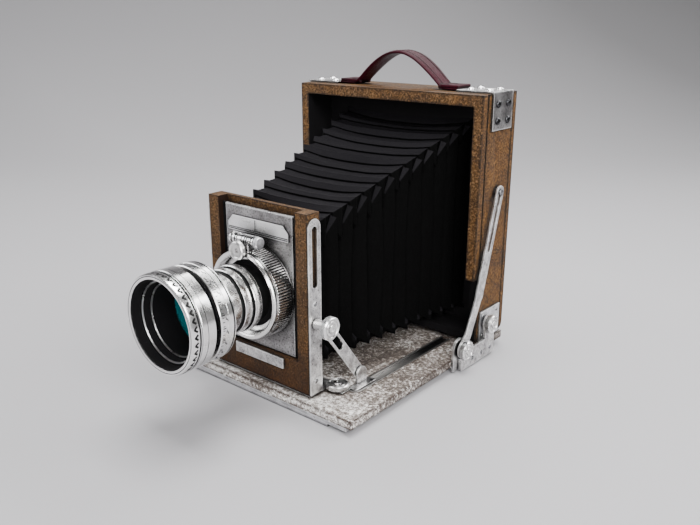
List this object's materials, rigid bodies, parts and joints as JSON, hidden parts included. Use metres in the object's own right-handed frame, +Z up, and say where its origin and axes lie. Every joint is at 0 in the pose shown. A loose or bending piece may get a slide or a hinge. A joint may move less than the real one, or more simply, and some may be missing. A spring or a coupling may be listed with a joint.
{
  "type": "bellows camera",
  "caption": "Wooden flat-bed field camera with a tapered bellows, tilting back, sliding and tilting front standard, slotted stays, clamp knobs and a lens with shutter.",
  "frame": {"origin": "mouth of the tripod bush, on its axis, in the plane of the plate that the camera rests on", "axes": "-Y is the way that the lens points, +Z is up, and +X is to the right when looking from behind the lens side, along +Y"},
  "size_m": [0.2588, 0.3561, 0.305],
  "materials": {
    "worn_wood": "tan brown wood, rubbed dark at the edges",
    "standard_wood": "warm brown wood, rubbed",
    "painted_board": "off-white paint over wood, worn and speckled",
    "black_frame": "matt black",
    "bellows_leather": "thin charcoal leather, pleated",
    "handle_leather": "burgundy leather with two creased lines",
    "aged_steel": "bright steel with fine wear",
    "plate_metal": "dull nickel on steel",
    "track_metal": "dark metal, bright at the lip",
    "knob_metal": "turned, knurled rim",
    "bush_brass": "threaded",
    "screw_steel": "domed heads",
    "panel_metal": "mottled, worn bright",
    "lens_metal": "polished rings with black grooves",
    "ring_metal": "polished with black marks",
    "coated_glass": "clear, blue-green coating",
    "frosted_glass": "ground"
  },
  "bodies": {
    "bed": {"bed_board": "painted_board", "track_left": "track_metal", "track_right": "track_metal", "sole_plate": "plate_metal", "tripod_plate": "plate_metal", "tripod_bush": "bush_brass", "side_bracket_left": "aged_steel", "side_bracket_right": "aged_steel", "wood_screws": "screw_steel"},
    "case": {"case_shell": "worn_wood", "front_frame": "worn_wood", "rear_frame": "worn_wood", "bellows_frame": "black_frame", "bellows": "bellows_leather", "screen_springs": "screw_steel", "corner_plate_left": "plate_metal", "corner_plate_right": "plate_metal", "corner_screws": "screw_steel", "hinge_plate_left": "plate_metal", "hinge_plate_right": "plate_metal", "hinge_plate_screws": "screw_steel", "case_pivots": "screw_steel", "stay_studs": "screw_steel", "handle": "handle_leather", "handle_screws": "screw_steel"},
    "screen": {"screen_frame": "worn_wood", "ground_glass": "frosted_glass"},
    "stay_left": {"stay_left": "aged_steel"},
    "stay_right": {"stay_right": "aged_steel"},
    "carriage": {"carriage_plate": "aged_steel", "brace_foot_left": "aged_steel", "brace_foot_right": "aged_steel"},
    "standard": {"standard_frame": "standard_wood", "side_strap_left": "aged_steel", "side_strap_right": "aged_steel", "strap_screws": "screw_steel", "brace_studs": "screw_steel", "base_bar": "aged_steel", "tilt_pin": "screw_steel"},
    "brace_left": {"brace_left": "aged_steel"},
    "brace_right": {"brace_right": "aged_steel"},
    "lens": {"lens_panel": "panel_metal", "scale_plate": "panel_metal", "shutter_case": "lens_metal", "shutter_cylinder": "lens_metal", "lens_barrel": "lens_metal", "lens_hood": "lens_metal", "front_glass": "coated_glass", "rear_glass": "coated_glass"},
    "aperture_ring": {"aperture_ring": "lens_metal"},
    "front_ring": {"front_ring": "ring_metal"},
    "speed_dial": {"speed_dial": "lens_metal"},
    "stay_knob_left": {"stay_knob_left": "knob_metal"},
    "stay_knob_right": {"stay_knob_right": "knob_metal"},
    "hinge_knob_left": {"hinge_knob_left": "knob_metal"},
    "hinge_knob_right": {"hinge_knob_right": "knob_metal"},
    "brace_knob_left": {"brace_knob_left": "knob_metal"},
    "brace_knob_right": {"brace_knob_right": "knob_metal"},
    "lock_knob_left": {"lock_knob_left": "knob_metal"},
    "lock_knob_right": {"lock_knob_right": "knob_metal"}
  },
  "joints": [
    {"name": "case_tilt", "type": "hinge", "parent": "bed", "child": "case", "pos_m": [0, 0.086, 0.037], "axis": [1, 0, 0], "range_deg": [0, 8], "deforming": ["bellows"]},
    {"name": "screen_slide", "type": "slide", "parent": "case", "child": "screen", "axis": [0, 1, 0], "range_m": [0, 0.01], "stiffness_N_per_m": 800, "deforming": ["screen_springs"]},
    {"name": "focus_slide", "type": "slide", "parent": "bed", "child": "carriage", "axis": [0, 1, 0], "range_m": [-0.004, 0.07], "deforming": ["bellows"]},
    {"name": "standard_tilt", "type": "hinge", "parent": "carriage", "child": "standard", "pos_m": [0, -0.1111, 0.02], "axis": [1, 0, 0], "range_deg": [-7, 0], "deforming": ["bellows"]},
    {"name": "lens_rise", "type": "slide", "parent": "standard", "child": "lens", "axis": [0, 0, 1], "range_m": [0, 0.02]},
    {"name": "aperture_turn", "type": "hinge", "parent": "lens", "child": "aperture_ring", "pos_m": [0, -0.1903, 0.1028], "axis": [0, 1, 0], "range_deg": [-50, 50]},
    {"name": "front_ring_turn", "type": "hinge", "parent": "lens", "child": "front_ring", "pos_m": [0, -0.2223, 0.1028], "axis": [0, 1, 0], "range_deg": [0, 90]},
    {"name": "speed_turn", "type": "hinge", "parent": "lens", "child": "speed_dial", "pos_m": [0, -0.1415, 0.145], "axis": [0, 1, 0], "range_deg": [-150, 150]},
    {"name": "stay_swing_left", "type": "hinge", "parent": "bed", "child": "stay_left", "pos_m": [-0.11935, 0.0385, 0.024], "axis": [1, 0, 0], "range_deg": [0, 8]},
    {"name": "brace_swing_left", "type": "hinge", "parent": "carriage", "child": "brace_left", "pos_m": [-0.0749, -0.0666, 0.025], "axis": [1, 0, 0], "range_deg": [-6, 0]},
    {"name": "stay_knob_turn_left", "type": "hinge", "parent": "bed", "child": "stay_knob_left", "pos_m": [-0.1259, 0.0385, 0.024], "axis": [-1, 0, 0], "range_deg": [0, 270]},
    {"name": "hinge_knob_turn_left", "type": "hinge", "parent": "case", "child": "hinge_knob_left", "pos_m": [-0.1259, 0.086, 0.037], "axis": [-1, 0, 0], "range_deg": [0, 270]},
    {"name": "brace_knob_turn_left", "type": "hinge", "parent": "standard", "child": "brace_knob_left", "pos_m": [-0.07895, -0.1111, 0.084], "axis": [-1, 0, 0], "range_deg": [0, 270]},
    {"name": "lock_knob_turn_left", "type": "hinge", "parent": "carriage", "child": "lock_knob_left", "pos_m": [-0.0683, -0.0893, 0.0182], "axis": [0, 0, 1], "range_deg": [0, 270]},
    {"name": "stay_swing_right", "type": "hinge", "parent": "bed", "child": "stay_right", "pos_m": [0.11935, 0.0385, 0.024], "axis": [1, 0, 0], "range_deg": [0, 8]},
    {"name": "brace_swing_right", "type": "hinge", "parent": "carriage", "child": "brace_right", "pos_m": [0.0749, -0.0666, 0.025], "axis": [1, 0, 0], "range_deg": [-6, 0]},
    {"name": "stay_knob_turn_right", "type": "hinge", "parent": "bed", "child": "stay_knob_right", "pos_m": [0.1259, 0.0385, 0.024], "axis": [1, 0, 0], "range_deg": [0, 270]},
    {"name": "hinge_knob_turn_right", "type": "hinge", "parent": "case", "child": "hinge_knob_right", "pos_m": [0.1259, 0.086, 0.037], "axis": [1, 0, 0], "range_deg": [0, 270]},
    {"name": "brace_knob_turn_right", "type": "hinge", "parent": "standard", "child": "brace_knob_right", "pos_m": [0.07895, -0.1111, 0.084], "axis": [1, 0, 0], "range_deg": [0, 270]},
    {"name": "lock_knob_turn_right", "type": "hinge", "parent": "carriage", "child": "lock_knob_right", "pos_m": [0.0683, -0.0893, 0.0182], "axis": [0, 0, 1], "range_deg": [0, 270]}
  ],
  "couplings": [
    {"joint": "stay_swing_left", "follows": "case_tilt", "ratio": 0.8479},
    {"joint": "brace_swing_left", "follows": "standard_tilt", "ratio": 0.7018},
    {"joint": "stay_swing_right", "follows": "case_tilt", "ratio": 0.8479},
    {"joint": "brace_swing_right", "follows": "standard_tilt", "ratio": 0.7018}
  ]
}
